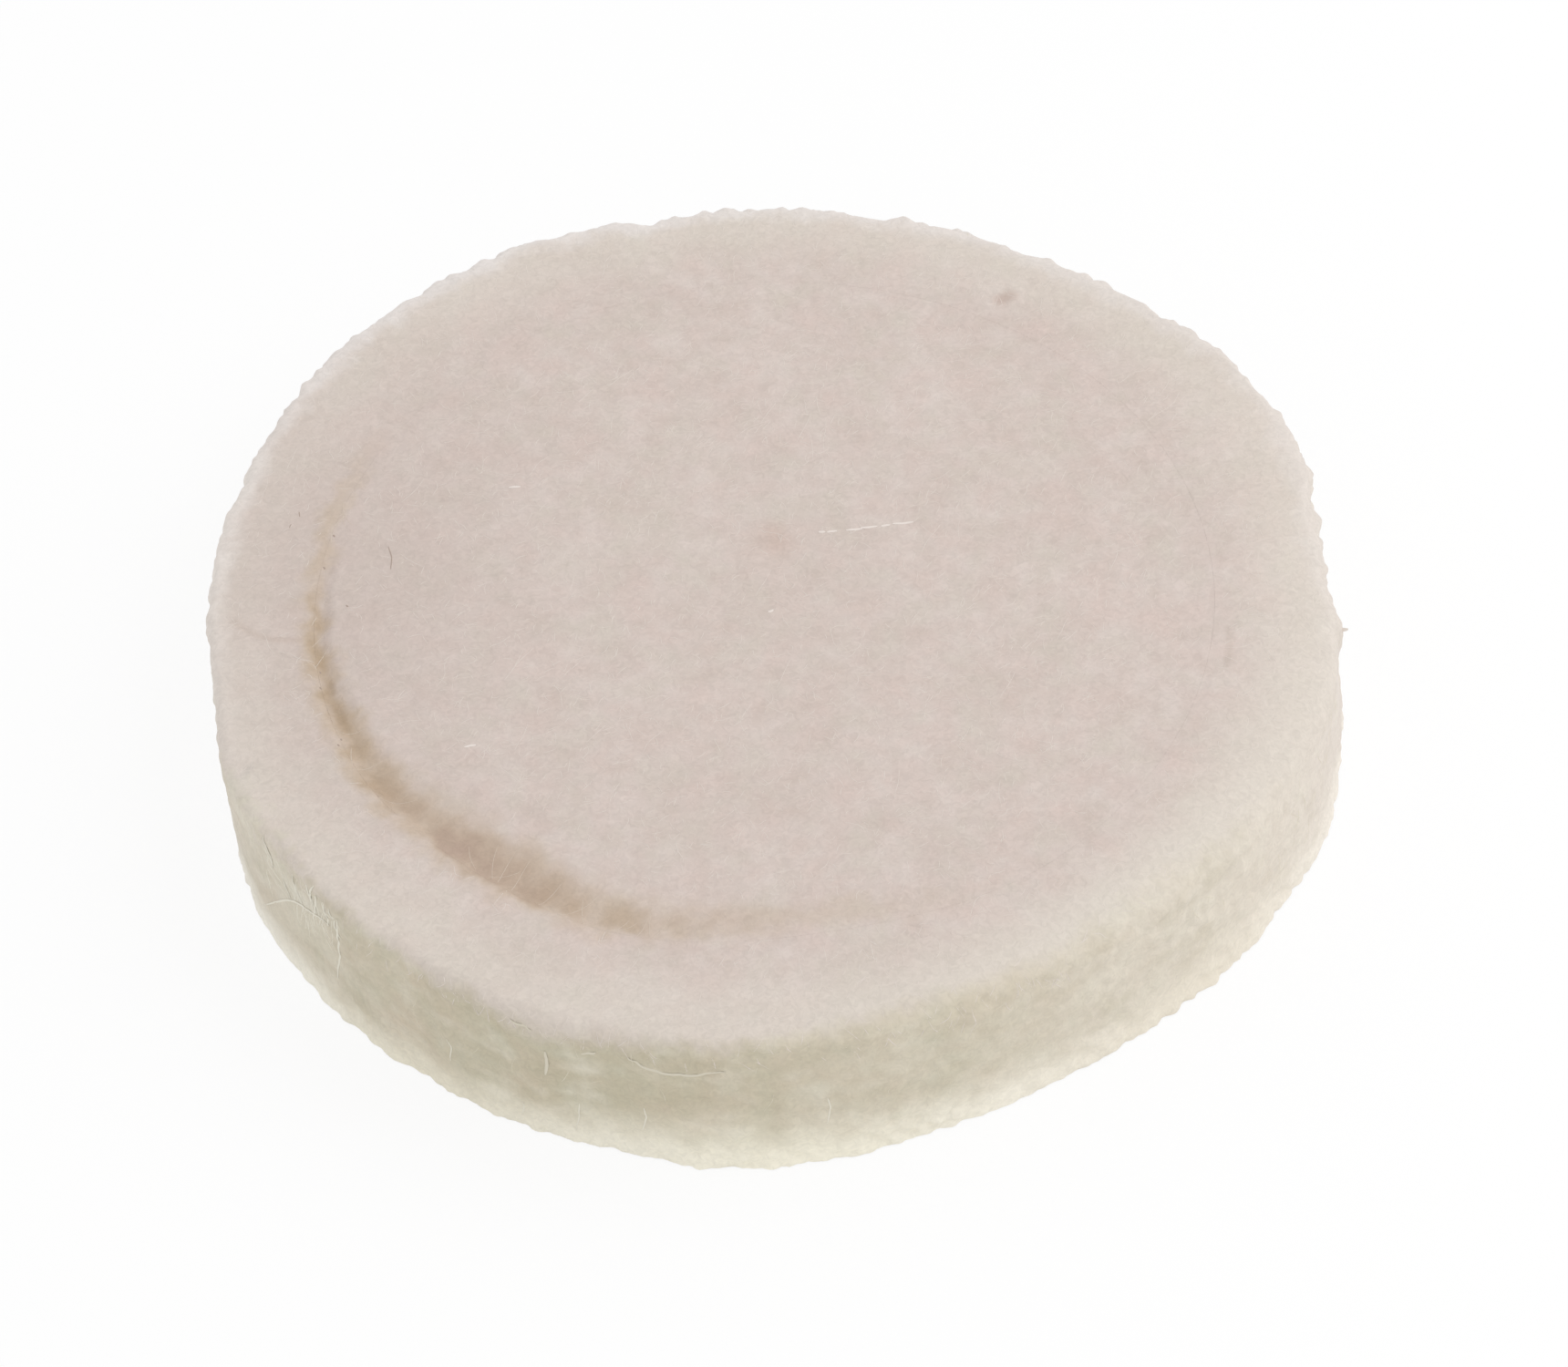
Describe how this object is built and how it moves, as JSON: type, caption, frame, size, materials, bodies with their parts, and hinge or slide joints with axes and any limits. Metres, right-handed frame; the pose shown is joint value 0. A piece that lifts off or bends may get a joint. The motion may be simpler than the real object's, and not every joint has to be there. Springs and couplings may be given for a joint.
{
  "type": "felt polishing wheel",
  "caption": "Plain round polishing wheel of pressed natural wool felt: a flat disc with a round concentric cut that parts a rim ring from the core.",
  "frame": {"origin": "centre of the flat back face, which the wheel rests on", "axes": "+Z along the wheel's axis from the back face to the working face; the cut's open crease is towards -X and -Y"},
  "size_m": [0.0254, 0.0257, 0.004],
  "materials": {
    "rim_felt": "matte",
    "core_felt": "matte"
  },
  "bodies": {
    "root": {"felt_rim": "rim_felt", "felt_core": "core_felt"}
  },
  "joints": []
}
